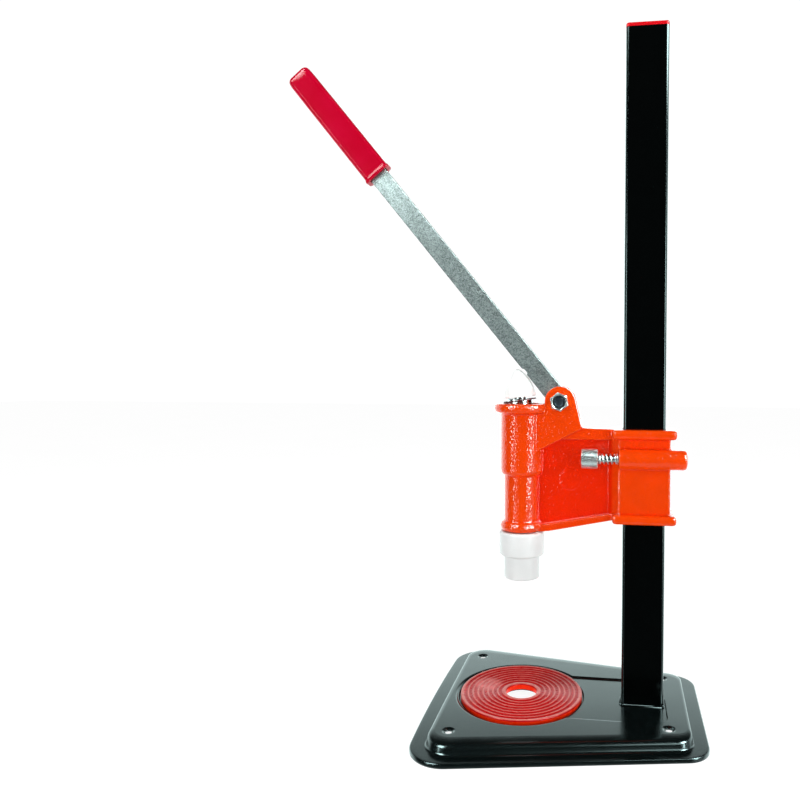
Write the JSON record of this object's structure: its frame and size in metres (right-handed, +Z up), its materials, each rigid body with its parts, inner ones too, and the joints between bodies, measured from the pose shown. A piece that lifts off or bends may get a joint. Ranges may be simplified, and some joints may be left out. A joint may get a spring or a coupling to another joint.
{
  "type": "manual bench capping machine",
  "caption": "Manual bench capping machine: a hand lever drives a sprung plunger and crimping head in a cast head that slides on a column over a sheet steel base.",
  "frame": {"origin": "middle of the underside of the bounding box, on the bench", "axes": "+Z up along the column, +X from the lever's grip towards the column, +Y from the catch side towards the back"},
  "size_m": [0.4138, 0.2418, 0.66],
  "materials": {
    "black_paint": "gloss",
    "orange_paint": "gloss powder coat with fine orange peel",
    "red_rubber": "satin, ribbed",
    "red_plastic": "satin",
    "red_vinyl": "gloss",
    "white_nylon": "satin, slightly translucent",
    "black_nylon": "satin",
    "galvanised_steel": "galvanised, spangled",
    "zinc_plate": "bright zinc plate",
    "bright_steel": "ground",
    "black_oxide_steel": "black oxide",
    "bronze": "sintered"
  },
  "bodies": {
    "base": {"base_plate": "black_paint", "column": "black_paint", "column_cap": "red_plastic", "foot_weld": "black_paint", "rubber_pad": "red_rubber"},
    "head": {"head_casting": "orange_paint", "lower_guide_bush": "bronze", "return_spring": "bright_steel", "pivot_bolt": "black_oxide_steel", "pivot_nut": "zinc_plate", "nut_locking_insert": "black_nylon", "catch_spring": "bright_steel"},
    "lever": {"lever_bar": "galvanised_steel", "lever_grip": "red_vinyl"},
    "plunger": {"plunger_rod": "bright_steel", "plunger_dome": "white_nylon", "wiper_ring": "black_nylon", "crimp_head": "white_nylon"},
    "catch": {"catch_button": "zinc_plate", "catch_rod": "bright_steel", "catch_pawl": "bright_steel", "pawl_pin": "zinc_plate"}
  },
  "joints": [
    {"name": "head_slide", "type": "slide", "parent": "base", "child": "head", "axis": [0, 0, 1], "range_m": [-0.075, 0.345]},
    {"name": "lever_pivot", "type": "hinge", "parent": "head", "child": "lever", "pos_m": [0.06939, 0, 0.3044], "axis": [0, -1, 0], "range_deg": [0, 42.75]},
    {"name": "plunger_slide", "type": "slide", "parent": "head", "child": "plunger", "axis": [0, 0, -1], "range_m": [0, 0.039], "stiffness_N_per_m": 1500, "springref_m": -0.03, "deforming": ["return_spring"]},
    {"name": "catch_slide", "type": "slide", "parent": "head", "child": "catch", "axis": [1, 0, 0], "range_m": [0, 0.004], "stiffness_N_per_m": 800, "springref_m": -0.005, "deforming": ["catch_spring"]}
  ],
  "couplings": [
    {"joint": "plunger_slide", "follows": "lever_pivot", "m_per_rad": 0.052}
  ]
}
